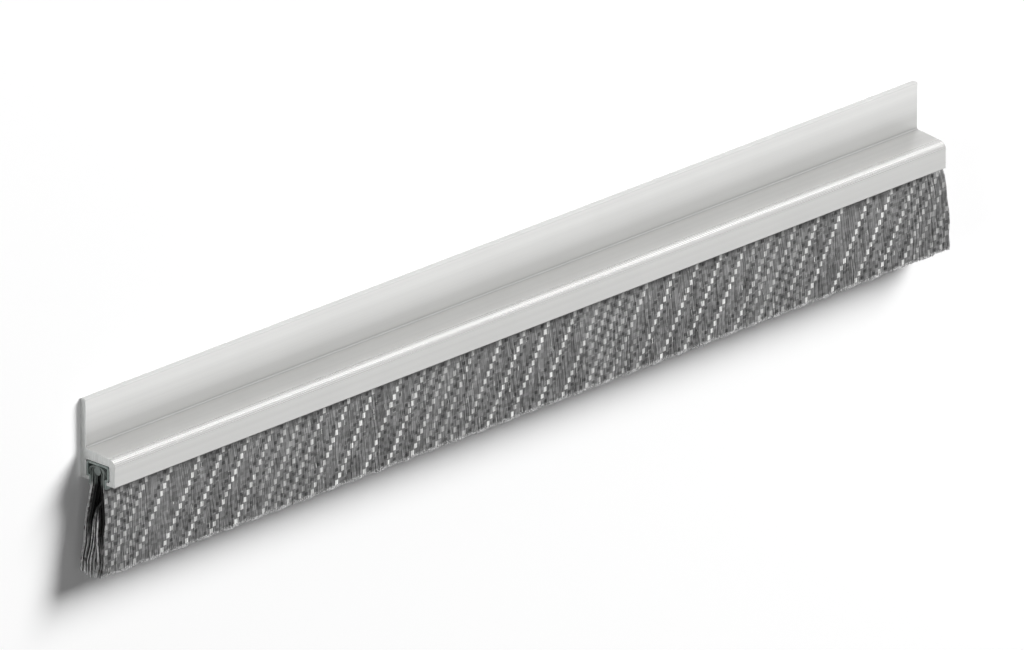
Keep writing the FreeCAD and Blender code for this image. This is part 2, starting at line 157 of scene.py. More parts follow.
def addBump(tree, shader, height, strength, distance):
    bump = addNode(tree, "ShaderNodeBump", {
        "Strength": strength, "Distance": distance, "Height": height,
    })
    plug(tree, shader.inputs["Normal"], bump.outputs["Normal"])


# Camera: the photo's long-lens view, turned so that the strip climbs to the right
cameraView = {
    "right": Vector((0.6873, 0.0, 0.7264)),
    "up": Vector((0.2649, 0.9312, -0.2504)),
    "lens": 900.0,
    "pixelsPerMetre": 4830.0,
    "imageWidth": 1024.0,
    "aim": Vector((0.00295, -0.00190, -0.00010)),
}


def makeCamera():
    data = bpy.data.cameras.new("camera")
    data.lens = cameraView["lens"]
    right = cameraView["right"].normalized()
    towards = right.cross(cameraView["up"]).normalized()
    up = towards.cross(right)
    shownWidth = cameraView["imageWidth"] / cameraView["pixelsPerMetre"]
    distance = shownWidth * data.lens / data.sensor_width
    place = cameraView["aim"] + towards * distance
    data.clip_start = distance / 10
    data.clip_end = distance * 4
    camera = bpy.data.objects.new("camera", data)
    scene.collection.objects.link(camera)
    turned = Matrix((right, up, towards)).transposed().to_4x4()
    camera.matrix_world = Matrix.Translation(place) @ turned
    scene.camera = camera
    print("camera at", place)


# Stage: pale floor, a soft key beyond the far end, a weak sheen lamp low behind the flange, and a
# weak fill for the near end's cut faces
stage = {
    "floorSize": 8.0,
    "floorColour": (0.97, 0.97, 0.97, 1.0),
    "floorLift": 0.01,                 # brings the lit floor just up to white
    "floorRoughness": 0.9,
    "worldLight": 0.10,
    "keyDirection": Vector((0.54, 0.56, 0.59)),
    "keySize": 2.3,
    "keyDistance": 4.0,
    "keyPower": 242.0,
    "sheenDirection": Vector((0.676, 0.78, 0.22)),
    "sheenSize": 1.6,
    "sheenDistance": 2.6,
    "sheenPower": 3.7,
    "fillDirection": Vector((-0.95, 0.22, 0.22)),
    "fillSize": 1.2,
    "fillDistance": 2.6,
    "fillPower": 20.0,
}


def makeLamp(name, direction, size, distance, power, shinesOnMetal):
    data = bpy.data.lights.new(name, "AREA")
    data.shape = "DISK"
    data.size = size
    data.energy = power
    lamp = bpy.data.objects.new(name, data)
    lamp.location = direction.normalized() * distance
    lamp.rotation_mode = "QUATERNION"
    lamp.rotation_quaternion = direction.to_track_quat("Z", "Y")
    lamp.visible_glossy = shinesOnMetal
    scene.collection.objects.link(lamp)


def seenByCamera(tree):
    # Camera rays, and the glossy and transmitted ones that show the same background
    rays = addNode(tree, "ShaderNodeLightPath").outputs
    glossy = calc(tree, "MAXIMUM", rays["Is Camera Ray"], rays["Is Glossy Ray"])
    return calc(tree, "MAXIMUM", glossy, rays["Is Transmission Ray"])


def makeStage():
    size = stage["floorSize"] / 2
    mesh = bpy.data.meshes.new("floor")
    corners = [(-size, -size, 0), (size, -size, 0), (size, size, 0), (-size, size, 0)]
    mesh.from_pydata(corners, [], [(0, 1, 2, 3)])
    floor = bpy.data.objects.new("floor", mesh)
    scene.collection.objects.link(floor)
    material = bpy.data.materials.new("paleFloor")
    material.use_nodes = True
    tree = material.node_tree
    shader = tree.nodes["Principled BSDF"]
    feed(tree, shader, {
        "Base Color": stage["floorColour"], "Roughness": stage["floorRoughness"],
        "Specular IOR Level": 0.0, "Emission Color": (1, 1, 1, 1),
        "Emission Strength": times(tree, seenByCamera(tree), stage["floorLift"]),
    })
    mesh.materials.append(material)

    world = bpy.data.worlds.new("studio")
    scene.world = world
    world.use_nodes = True
    tree = world.node_tree
    feed(tree, tree.nodes["Background"], {
        "Color": (1, 1, 1, 1),
        "Strength": ramp(tree, seenByCamera(tree), 0, 1, stage["worldLight"], 1.0),
    })

    for name, shinesOnMetal in (("key", False), ("sheen", True), ("fill", False)):
        makeLamp(name, stage[name + "Direction"], stage[name + "Size"],
                 stage[name + "Distance"], stage[name + "Power"], shinesOnMetal)
    print("stage and lamps placed")


# Shader groups that several finishes share

def makeDrawnLines():
    # Long streaks left along X by a die or a roll: fine lines, and broad bands of tone
    group, given, put = newGroup(
        "drawnLines",
        [("Place", "NodeSocketVector", None), ("Line Width", "NodeSocketFloat", 0.2 * mm),
         ("Stretch", "NodeSocketFloat", 400.0)],
        [("Lines", "NodeSocketFloat", None), ("Bands", "NodeSocketFloat", None)])
    parts = addNode(group, "ShaderNodeSeparateXYZ", {0: given["Place"]})
    slowX = calc(group, "DIVIDE", parts.outputs["X"], given["Stretch"])
    squeezed = addNode(group, "ShaderNodeCombineXYZ", {
        "X": slowX, "Y": parts.outputs["Y"], "Z": parts.outputs["Z"],
    })
    scale = calc(group, "DIVIDE", 1.0, given["Line Width"])
    lines = addNode(group, "ShaderNodeTexNoise", {
        "Vector": squeezed.outputs[0], "Scale": scale, "Detail": 3.0,
    })
    linesInBand = 9.0
    bands = addNode(group, "ShaderNodeTexNoise", {
        "Vector": squeezed.outputs[0], "Scale": calc(group, "DIVIDE", scale, linesInBand),
        "Detail": 1.0,
    })
    plug(group, put["Lines"], lines.outputs["Fac"])
    plug(group, put["Bands"], bands.outputs["Fac"])
    return group


def makeGrain():
    # Even fine grain, as of an etched or coated skin, and slow clouds of tone
    group, given, put = newGroup(
        "fineGrain",
        [("Place", "NodeSocketVector", None), ("Grain Size", "NodeSocketFloat", 0.2 * mm),
         ("Cloud Size", "NodeSocketFloat", 10 * mm)],
        [("Grain", "NodeSocketFloat", None), ("Clouds", "NodeSocketFloat", None)])
    for name, size, detail in (("Grain", "Grain Size", 2.0), ("Clouds", "Cloud Size", 3.0)):
        noise = addNode(group, "ShaderNodeTexNoise", {
            "Vector": given["Place"], "Scale": calc(group, "DIVIDE", 1.0, given[size]),
            "Detail": detail,
        })
        plug(group, put[name], noise.outputs["Fac"])
    return group


drawnLines = makeDrawnLines()
fineGrain = makeGrain()


# Carrier: satin anodised aluminium, swept along X from its section
carrier = {
    "wall": 1.6 * mm,
    "holderHeight": 6.8 * mm,
    "shoulderDrop": 1.0 * mm,
    "cavityHeight": 3.5 * mm,
    "lipThickness": 0.8 * mm,
    "lipReach": 0.85 * mm,
    "shoulderRound": 1.5 * mm,
    "junctionRound": 0.4 * mm,
    "cavityRound": 0.3 * mm,
    "edgeRound": 0.3 * mm,
    "roundSteps": 7,
    "sawnEdge": 0.07 * mm,
    "colour": (0.60, 0.60, 0.59, 1.0),
    # painted light: the colour the flange is painted towards its top edge
    "paintedLightColour": (0.76, 0.76, 0.75, 1.0),
    "sawnColour": (0.62, 0.63, 0.62, 1.0),
    "metallic": 0.7,
    "plainTone": 0.83,                 # tone without streaks and clouds, and what each adds
    "bandTone": 0.16,
    "lineTone": 0.10,
    "cloudTone": 0.08,
    "junctionShade": 0.91,
    "junctionReach": 6.8 * mm,
    "filletShade": 0.72,
    "filletStart": 0.2 * mm,
    "filletReach": 0.6 * mm,
    "shelfShade": 0.905,
    "paintedEdgeStrength": 0.07,
    "edgePolish": 0.16,
    "highlightZ": (-1.8 * mm, -0.2 * mm, 0.5 * mm, 1.0 * mm),    # from the shoulder's turn
    "highlightDrop": 1.0 * mm,
    "underShadeY": (-1.8 * mm, -1.2 * mm, -0.7 * mm, -0.2 * mm),    # from the shoulder's edge
    "underShadeZ": 0.7 * mm,
    "polishedZ": 1.2 * mm,
    "polishedY": (-2.0 * mm, -1.0 * mm),
    "rimShade": 0.77,
    "rimHeight": 0.5 * mm,
    "roughness": (0.36, 0.46),
    "grainHeight": 0.35,               # of the drawn lines' height
    "sawMarkWidth": 0.12 * mm,
    "sawMarkSlant": 28.0,
    "sawMarkStretch": 0.06,            # long across the end
    "sawnTones": (0.86, 1.08),
    "sawnRoughness": (0.38, 0.5),
}


def carrierSection():
    # Corners as (Y, Z, corner radius), anticlockwise from the back of the holder's edge
    bottom = carrierLow.y
    top = carrierHigh.y
    back = carrierLow.z
    front = carrierHigh.z
    wall = carrier["wall"]
    lip = bottom + carrier["lipThickness"]
    ceiling = lip + carrier["cavityHeight"]
    holderTop = bottom + carrier["holderHeight"]
    slotBack = back + wall + carrier["lipReach"]
    slotFront = front - wall - carrier["lipReach"]
    edge = carrier["edgeRound"]
    return [
        (bottom, back, edge),
        (bottom, slotBack, edge),
        (lip, slotBack, edge),
        (lip, back + wall, 0.0),
        (ceiling, back + wall, carrier["cavityRound"]),
        (ceiling, front - wall, carrier["cavityRound"]),
        (lip, front - wall, 0.0),
        (lip, slotFront, edge),
        (bottom, slotFront, edge),
        (bottom, front, edge),
        (holderTop - carrier["shoulderDrop"], front, carrier["shoulderRound"]),
        (holderTop, back + wall, carrier["junctionRound"]),
        (top, back + wall, edge),
        (top, back, edge),
    ]


def newGeometryTree(name, inputs):
    tree = bpy.data.node_groups.new(name, "GeometryNodeTree")
    tree.interface.new_socket("Geometry", in_out="INPUT", socket_type="NodeSocketGeometry")
    addSockets(tree, "INPUT", inputs)
    tree.interface.new_socket("Geometry", in_out="OUTPUT", socket_type="NodeSocketGeometry")
    return tree, addNode(tree, "NodeGroupInput").outputs, addNode(tree, "NodeGroupOutput").inputs


def setInputs(modifier, values):
    # Inputs are set by the socket's identifier, before the object is first evaluated
    for item in modifier.node_group.interface.items_tree:
        if item.item_type == "SOCKET" and item.in_out == "INPUT" and item.name in values:
            modifier[item.identifier] = values[item.name]


def toPlainMesh(source, name):
    # The evaluated result as an ordinary mesh object, with the source taken away
    depsgraph = bpy.context.evaluated_depsgraph_get()
    mesh = bpy.data.meshes.new_from_object(source.evaluated_get(depsgraph), depsgraph=depsgraph)
    mesh.name = name
    bpy.data.objects.remove(source)
    piece = bpy.data.objects.new(name, mesh)
    scene.collection.objects.link(piece)
    return piece


def sweptTree():
    # Rounds the section's corners, fills it and extrudes it along X; sawn ends get their own finish
    tree, given, put = newGeometryTree("sweptSection", [
        ("Start", "NodeSocketFloat", 0.0),
        ("Length", "NodeSocketFloat", 1.0),
        ("Round Steps", "NodeSocketInt", 6),
        ("Side Finish", "NodeSocketMaterial", None),
        ("End Finish", "NodeSocketMaterial", None),
    ])
    radius = addNode(tree, "GeometryNodeInputRadius").outputs[0]
    rounded = addNode(tree, "GeometryNodeFilletCurve", {
        "Curve": given["Geometry"], "Radius": radius, "Count": given["Round Steps"],
        "Limit Radius": True,
    }, mode="POLY")
    filled = addNode(tree, "GeometryNodeFillCurve", {"Curve": rounded.outputs["Curve"]}, mode="NGONS")
    flipped = addNode(tree, "GeometryNodeFlipFaces", {"Mesh": filled.outputs["Mesh"]})
    along = addNode(tree, "ShaderNodeCombineXYZ", {"Z": given["Length"]})
    pushed = addNode(tree, "GeometryNodeExtrudeMesh", {
        "Mesh": filled.outputs["Mesh"], "Offset": along.outputs[0], "Offset Scale": 1.0,
        "Individual": False,
    }, mode="FACES")
    joined = addNode(tree, "GeometryNodeJoinGeometry", {0: flipped.outputs["Mesh"]})
    plug(tree, joined.inputs[0], pushed.outputs["Mesh"])
    merged = addNode(tree, "GeometryNodeMergeByDistance", {
        "Geometry": joined.outputs[0], "Distance": 0.001 * mm,
    })
    start = addNode(tree, "ShaderNodeCombineXYZ", {"X": given["Start"]})
    laid = addNode(tree, "GeometryNodeTransform", {
        "Geometry": merged.outputs["Geometry"], "Translation": start.outputs[0],
        "Rotation": (math.pi / 2, 0.0, math.pi / 2),
    })
    realized = addNode(tree, "GeometryNodeRealizeInstances", {"Geometry": laid.outputs["Geometry"]})
    sides = addNode(tree, "GeometryNodeSetMaterial", {
        "Geometry": realized.outputs["Geometry"], "Material": given["Side Finish"],
    })
    normal = addNode(tree, "ShaderNodeSeparateXYZ", {
        0: addNode(tree, "GeometryNodeInputNormal").outputs[0],
    })
    nearlyAlongX = 0.9
    facesEnd = calc(tree, "GREATER_THAN", calc(tree, "ABSOLUTE", normal.outputs["X"]), nearlyAlongX)
    ends = addNode(tree, "GeometryNodeSetMaterial", {
        "Geometry": sides.outputs["Geometry"], "Selection": facesEnd,
        "Material": given["End Finish"],
    })
    plug(tree, put["Geometry"], ends.outputs["Geometry"])
    return tree


def sectionCurve(name, corners):
    # A closed outline that carries each corner's rounding as the point's radius
    data = bpy.data.curves.new(name, "CURVE")
    data.dimensions = "3D"
    spline = data.splines.new("POLY")
    spline.points.add(len(corners) - 1)
    for point, (y, z, radius) in zip(spline.points, corners):
        point.co = (y, z, 0.0, 1.0)
        point.radius = radius
    spline.use_cyclic_u = True
    source = bpy.data.objects.new(name + "Section", data)
    scene.collection.objects.link(source)
    return source


def sweepPiece(name, corners, low, high, steps, sideFinish, endFinish, sawnEdge):
    # The section swept from low to high along X, with the sawn ends' edges broken
    source = sectionCurve(name, corners)
    nodes = source.modifiers.new("swept", "NODES")
    nodes.node_group = sweptSection
    setInputs(nodes, {"Start": low, "Length": high - low, "Round Steps": steps,
                      "Side Finish": sideFinish, "End Finish": endFinish})
    piece = toPlainMesh(source, name)
    for polygon in piece.data.polygons:
        polygon.use_smooth = True
    piece.data.set_sharp_from_angle(angle=math.radians(40))
    bevel = piece.modifiers.new("sawn edge", "BEVEL")
    bevel.width = sawnEdge
    bevel.segments = 2
    bevel.limit_method = "ANGLE"
    bevel.angle_limit = math.radians(60)
    even = piece.modifiers.new("even", "WEIGHTED_NORMAL")
    even.keep_sharp = True
    return toPlainMesh(piece, name)


def plateau(tree, value, origin, limits, smooth=False):
    # One between the two inner limits, nought outside the two outer ones, all from the origin
    start, full, fade, end = limits
    return times(tree, ramp(tree, value, origin + start, origin + full, smooth=smooth),
                 ramp(tree, value, origin + fade, origin + end, 1.0, 0.0))


def carrierShades(tree, y, z):
    # Painted shade in the corner between flange and holder and in its fillet, and on the flange's top
    # rim
    wall = carrier["wall"]
    holderTop = carrierLow.y + carrier["holderHeight"]
    edgeLevel = holderTop - carrier["shoulderDrop"]
    turnZ = carrierHigh.z - carrier["shoulderRound"]
    flat = addNode(tree, "ShaderNodeCombineXYZ", {"Y": y, "Z": z})
    corner = addNode(tree, "ShaderNodeVectorMath", {
        0: flat.outputs[0], 1: (0.0, holderTop, carrierLow.z + wall),
    }, operation="DISTANCE")
    cornerShade = ramp(tree, corner.outputs["Value"], 0.0, carrier["junctionReach"],
                carrier["junctionShade"], 1.0, smooth=True)
    fillet = ramp(tree, corner.outputs["Value"], carrier["filletStart"], carrier["filletReach"],
                  carrier["filletShade"], 1.0)
    rim = ramp(tree, y, carrierHigh.y - carrier["rimHeight"], carrierHigh.y,
               1.0, carrier["rimShade"])

    # Painted shade on the sloping shelf. Over the turn of its rounded edge a painted highlight, and
    # painted shade under it
    onShelf = times(tree, ramp(tree, z, carrierLow.z + 2 * wall, carrierLow.z + 4 * wall),
                    ramp(tree, z, carrierHigh.z - wall, carrierHigh.z - wall / 2, 1.0, 0.0))
    shelf = ramp(tree, onShelf, 0.0, 1.0, 1.0, carrier["shelfShade"])
    paintedHighlight = times(tree, plateau(tree, z, turnZ, carrier["highlightZ"], smooth=True),
                   calc(tree, "GREATER_THAN", y, edgeLevel - carrier["highlightDrop"]))
    paintedShadeUnderTurn = times(tree, plateau(tree, y, edgeLevel, carrier["underShadeY"]),
                      calc(tree, "GREATER_THAN", z, turnZ + carrier["underShadeZ"]))
    paintedEdgeLight = calc(tree, "MULTIPLY_ADD", minus(tree, paintedHighlight, paintedShadeUnderTurn), carrier["paintedEdgeStrength"], 1.0)
    return cornerShade, fillet, shelf, paintedEdgeLight, rim


def carrierPolish(tree, y, z):
    # Handling has polished the rounded edge
    edgeLevel = carrierLow.y + carrier["holderHeight"] - carrier["shoulderDrop"]
    turnZ = carrierHigh.z - carrier["shoulderRound"]
    polishLow, polishHigh = carrier["polishedY"]
    return times(tree, ramp(tree, z, turnZ - carrier["polishedZ"], turnZ, smooth=True),
                 ramp(tree, y, edgeLevel + polishLow, edgeLevel + polishHigh))


def makeAluminium():
    material, tree, shader, place = newMaterial("satinAluminium")
    streaks = placeGroup(tree, drawnLines, Place=place, Line_Width=0.16 * mm, Stretch=500.0)
    skin = placeGroup(tree, fineGrain, Place=place, Grain_Size=0.12 * mm, Cloud_Size=20 * mm)
    parts = addNode(tree, "ShaderNodeSeparateXYZ", {0: place})
    y = parts.outputs["Y"]
    z = parts.outputs["Z"]
    holderTop = carrierLow.y + carrier["holderHeight"]
    # Painted light: the flange is painted lighter from the holder's top up to its rim
    paintedLightTowardsTop = ramp(tree, y, holderTop, carrierHigh.y, smooth=True)
    plain = blendColours(tree, paintedLightTowardsTop, carrier["colour"], carrier["paintedLightColour"])
    shade = plus(tree, times(tree, streaks["Bands"], carrier["bandTone"]),
                 times(tree, streaks["Lines"], carrier["lineTone"]))
    shade = plus(tree, shade, times(tree, skin["Clouds"], carrier["cloudTone"]))
    shade = plus(tree, shade, carrier["plainTone"])
    shade = times(tree, shade, *carrierShades(tree, y, z))
    rough = spread(tree, streaks["Lines"], *carrier["roughness"])
    rough = calc(tree, "MULTIPLY_ADD", carrierPolish(tree, y, z), -carrier["edgePolish"], rough)
    feed(tree, shader, {"Base Color": timesGrey(tree, shade, plain),
                        "Metallic": carrier["metallic"], "Roughness": rough})
    height = plus(tree, streaks["Lines"], times(tree, skin["Grain"], carrier["grainHeight"]))
    addBump(tree, shader, height, strength=0.25, distance=0.02 * mm)
    return material


def makeSawnAluminium():
    # Saw marks cross the end at a slant
    material, tree, shader, place = newMaterial("sawnAluminium")
    turned = addNode(tree, "ShaderNodeMapping", {
        "Vector": place, "Rotation": (math.radians(carrier["sawMarkSlant"]), 0.0, 0.0),
        "Scale": (1.0, carrier["sawMarkStretch"], 1.0),
    })
    marks = addNode(tree, "ShaderNodeTexNoise", {
        "Vector": turned.outputs[0], "Scale": 1 / carrier["sawMarkWidth"], "Detail": 2.0,
    })
    skin = placeGroup(tree, fineGrain, Place=place, Grain_Size=0.1 * mm, Cloud_Size=3 * mm)
    shade = spread(tree, marks.outputs["Fac"], *carrier["sawnTones"])
    feed(tree, shader, {"Base Color": timesGrey(tree, shade, carrier["sawnColour"]),
                        "Metallic": carrier["metallic"],
                        "Roughness": spread(tree, skin["Clouds"], *carrier["sawnRoughness"])})
    height = plus(tree, marks.outputs["Fac"], skin["Grain"])
    addBump(tree, shader, height, strength=0.35, distance=0.02 * mm)
    return material


# Backing: roll-formed strip with a dull grey-green zinc coat, paler in patches
backing = {
    "colour": (0.20, 0.235, 0.225, 1.0),
    "paleColour": (0.33, 0.37, 0.35, 1.0),
    "patchClouds": (0.4, 0.62),        # noise values where a pale patch starts and is full
    "patchStreaks": (0.35, 0.65),
    "metallic": 0.55,
    "roughness": (0.42, 0.62),
}


def makeZinc():
    material, tree, shader, place = newMaterial("dullZinc")
    streaks = placeGroup(tree, drawnLines, Place=place, Line_Width=0.2 * mm, Stretch=60.0)
    skin = placeGroup(tree, fineGrain, Place=place, Grain_Size=0.2 * mm, Cloud_Size=1.6 * mm)
    pale = times(tree, ramp(tree, skin["Clouds"], *backing["patchClouds"]),
                 ramp(tree, streaks["Lines"], *backing["patchStreaks"]))
    colour = blendColours(tree, pale, backing["colour"], backing["paleColour"])
    feed(tree, shader, {"Base Color": colour, "Metallic": backing["metallic"],
                        "Roughness": spread(tree, skin["Clouds"], *backing["roughness"])})
    height = plus(tree, skin["Grain"], streaks["Lines"])
    addBump(tree, shader, height, strength=0.3, distance=0.02 * mm)
    return material


# Wire: dull drawn steel, with zinc rubbed on to it
wire = {
    "colour": (0.23, 0.25, 0.24, 1.0),
    "cleanShares": (0.4, 1.0),         # least and most bare steel in the streaks
    "metallic": 0.8,
    "roughness": (0.35, 0.55),
}


def makeWireSteel():
    material, tree, shader, place = newMaterial("drawnWire")
    streaks = placeGroup(tree, drawnLines, Place=place, Line_Width=0.1 * mm, Stretch=80.0)
    skin = placeGroup(tree, fineGrain, Place=place, Grain_Size=0.1 * mm, Cloud_Size=1 * mm)
    clean = spread(tree, streaks["Lines"], *wire["cleanShares"])
    colour = blendColours(tree, clean, backing["colour"], wire["colour"])
    feed(tree, shader, {"Base Color": colour, "Metallic": wire["metallic"],
                        "Roughness": spread(tree, skin["Clouds"], *wire["roughness"])})
    height = plus(tree, skin["Grain"], streaks["Lines"])
    addBump(tree, shader, height, strength=0.3, distance=0.015 * mm)
    return material


# Filaments: crimped, folded over the wire in two legs, fanning out to a crowned tip
filaments = {
    "banks": 5,                        # pieces along the strip
    "pitch": 0.25 * mm,
    "layers": 13,
    "steps": 13,
    "radius": 0.15 * mm,
    "staggerSpread": 0.3,              # of a column's pitch
    "packing": 0.7,                    # under 1 packs strands closer towards the outside
    "stepGrowth": 1.25,                # over 1 makes a strand's steps longer towards the tip
    "foldInner": 1.02 * mm,
    "foldRise": 1.02 * mm,
    "foldReach": 2.45 * mm,
    "throatReach": 1.68 * mm,
    "headFloor": 1.70 * mm,            # how far under the fold the backing narrows
    "neckDrop": 0.35 * mm,             # how far under the holder's edge the brush starts to open
    "tipBack": 1.75 * mm,
    "tipFront": 8.75 * mm,
    "legThickness": 1.10 * mm,
    "hollowDrop": 0.12,                # shares of the way down: where the core starts and is full
    "hollowEnd": 0.74,
    "coreFilling": (0.1, 0.96),
    "coreRecess": 6.0 * mm,
    "recessDrop": 0.3,
    "coreSide": 0.84,
    "coreLit": (0.16, 0.26),           # shares of the way down again, for the dark in the hollow
    "hollowOpens": (0.7, 0.95),
    "legDarkDrops": (0.08, 0.5),
    "legDarkShares": (0.34, 0.08),     # of a leg's depth at those drops
    "backLegDark": 0.65,
    "bulge": 3.0,                      # higher opens the faces sooner under the neck
    "insideShare": 0.35,               # shares up to this lie inside a leg's outer skin
    "outerSkin": 0.08,                 # the skin's part of the leg's thickness
    "crown": 1.1 * mm,
    "trim": 0.2 * mm,
    "crimpLength": 8.80 * mm,          # one wave's height, and how far it slips along the strip
    "crimpRake": 7.46 * mm,
    "crimpDepth": 0.22 * mm,
    "crimpGrowth": (0.05, 0.5),
    "crimpLooseness": 0.2,             # how far a strand's wave strays, in radians
    "wander": 0.14 * mm,
    "endZone": 16.0 * mm,
    "endStrands": 1.2 * mm,
    "nearSplay": 2.4 * mm,
    "farSplay": 2.9 * mm,
    "farOpening": 0.08,                # near 0 the far end's fan opens at once
    "legShare": 0.5,                   # the bundle's half depth: core under this share, legs over it
    "foldShare": 0.25,                 # share of a strand's steps that turns over the wire
    "columnWidth": 0.904 * mm,         # the grid of painted crest glints on the brush's faces
    "columnLean": 1.057,
    "rowHeight": 1.34 * mm,
    "markEnds": (0.10, 0.88),
    "markHalfWidth": 0.46,
    "dotEnds": (0.25, 0.75),
    "dotTurn": 0.27,
    "dotShare": 0.3,
    "dotStrength": 0.82,
    "orderedShare": 0.72,              # strands further out than this carry painted glints in order
    "clusterLength": 49.0 * mm,
    "faintCrest": 0.55,                # strengths in a cluster: of the crest glints, and of those between
    "weakCrest": 0.5,
    "faintCycle": (-0.9, 0.1),         # from the faintest to full, by the cluster's cosine
    "weakCycle": (-0.2, -0.9),         # from none to the strongest
    "colour": (0.198, 0.198, 0.198, 1.0),
    "strandTones": (0.95, 1.05),
    "patchTones": (0.70, 1.30),
    "cloudTones": (0.94, 1.06),
    "paintedLightTone": 1.3,                  # painted light just under the holder's edge, against its shadow
    "paintedLightReach": 3.3 * mm,
    "glintColour": (0.76, 0.76, 0.75, 1.0),
    "shadeColour": (0.05, 0.05, 0.05, 1.0),
    # painted light: the core and the back leg's end strands, which get little light at the cut ends
    "paintedLightCoreColour": (0.46, 0.46, 0.46, 1.0),
    "hollowShadeColour": (0.008, 0.008, 0.008, 1.0),
    "cutColour": (0.60, 0.60, 0.60, 1.0),
    "cutStrength": 0.85,
    "cutReach": (0.3 * mm, 0.5 * mm),
    # zinc rubbed off on the strands inside the holder, and painted shade there
    "headColour": (0.17, 0.19, 0.18, 1.0),
    "roughness": 0.5,
    "specular": 0.35,
    "seed": 7,
    "seedStep": 20,                    # keeps the banks' random draws apart
}


def strandAttribute(tree, name):
    node = addNode(tree, "GeometryNodeInputNamedAttribute", {"Name": name}, data_type="FLOAT")
    return node.outputs["Attribute"]


def storeValue(tree, geometry, name, value):
    node = addNode(tree, "GeometryNodeStoreNamedAttribute", {
        "Name": name, "Geometry": geometry, "Value": value,
    }, data_type="FLOAT", domain="POINT")
    return node.outputs["Geometry"]


def scatter(tree, low, high, seed, offset):
    # A random value for each point; the offset keeps the draws apart
    node = addNode(tree, "FunctionNodeRandomValue", data_type="FLOAT")
    sockets = [socket for socket in node.inputs if socket.enabled]
    for name, value in (("Min", low), ("Max", high)):
        plug(tree, next(socket for socket in sockets if socket.name == name), value)
    plug(tree, node.inputs["Seed"], plus(tree, seed, offset))
    return next(socket for socket in node.outputs if socket.enabled)


def between(tree, low, high, factor):
    # From low at factor 0 to high at factor 1
    span = minus(tree, high, low)
    return calc(tree, "MULTIPLY_ADD", span, factor, low)


strandSizes = ["Start X", "Column Pitch", "Strand Radius", "Fold Level", "Fold Z", "Fold Inner",
               "Fold Rise", "Fold Reach", "Throat Reach", "Head Floor", "Neck Level", "Tip Level",
               "Tip Back", "Tip Front", "Leg Thickness", "Hollow Drop", "Hollow End", "Core Recess",
               "Crown", "Trim", "Crimp Length", "Crimp Rake", "Crimp Depth", "Wander",
               "Half Length", "End Zone", "Near Splay", "Far Splay"]


def plantStrands(tree, given):
    # One point for each strand: its column along X and its place across the bundle, from -1 at
    # the back to 1 at the front, packed closer towards the outside. Each point gets a line
    seed = given["Seed"]
    points = addNode(tree, "GeometryNodePoints", {"Count": given["Strands"]})
    index = addNode(tree, "GeometryNodeInputIndex").outputs[0]
    column = calc(tree, "FLOOR", calc(tree, "DIVIDE", plus(tree, index, 0.5), given["Layers"]))
    layer = minus(tree, index, times(tree, column, given["Layers"]))
    goldenStep = 0.618
    stagger = calc(tree, "MULTIPLY_ADD", layer, goldenStep,
                   scatter(tree, 0.0, filaments["staggerSpread"], seed, 1))
    columnSpot = plus(tree, column, calc(tree, "FRACT", stagger))
    strandX = calc(tree, "MULTIPLY_ADD", columnSpot, given["Column Pitch"], given["Start X"])
    layerSpot = plus(tree, layer, scatter(tree, 0.0, 1.0, seed, 2))
    across = calc(tree, "MULTIPLY_ADD", calc(tree, "DIVIDE", layerSpot, given["Layers"]), 2.0, -1.0)
    packed = calc(tree, "POWER", calc(tree, "ABSOLUTE", across), filaments["packing"])
    across = times(tree, packed, calc(tree, "SIGN", across))
    geometry = points.outputs[0]
    geometry = storeValue(tree, geometry, "strandX", strandX)
    geometry = storeValue(tree, geometry, "strandAcross", across)
    geometry = storeValue(tree, geometry, "strandTone", scatter(tree, 0.0, 1.0, seed, 3))
    geometry = storeValue(tree, geometry, "strandLean", scatter(tree, -1.0, 1.0, seed, 4))
    geometry = storeValue(tree, geometry, "strandTrim", scatter(tree, 0.0, 1.0, seed, 5))
    line = addNode(tree, "GeometryNodeCurvePrimitiveLine")
    divided = addNode(tree, "GeometryNodeResampleCurve", {
        "Curve": line.outputs[0], "Count": given["Steps"],
    })
    placed = addNode(tree, "GeometryNodeInstanceOnPoints", {
        "Points": geometry, "Instance": divided.outputs[0],
    })
    strands = addNode(tree, "GeometryNodeRealizeInstances", {0: placed.outputs[0]})
    return strands.outputs[0]


def readStrand(tree):
    # The outer strands make the two legs, the inner ones the core between them. In both, the share
    # goes from 0 inside to just under 1 outside
    across = strandAttribute(tree, "strandAcross")
    depth = calc(tree, "ABSOLUTE", across)
    justUnder = 0.999
    return {
        "x": strandAttribute(tree, "strandX"),
        "lean": strandAttribute(tree, "strandLean"),
        "across": across,
        "isLeg": calc(tree, "GREATER_THAN", depth, filaments["legShare"]),
        "share": calc(tree, "FRACT", times(tree, depth, justUnder / filaments["legShare"])),
    }


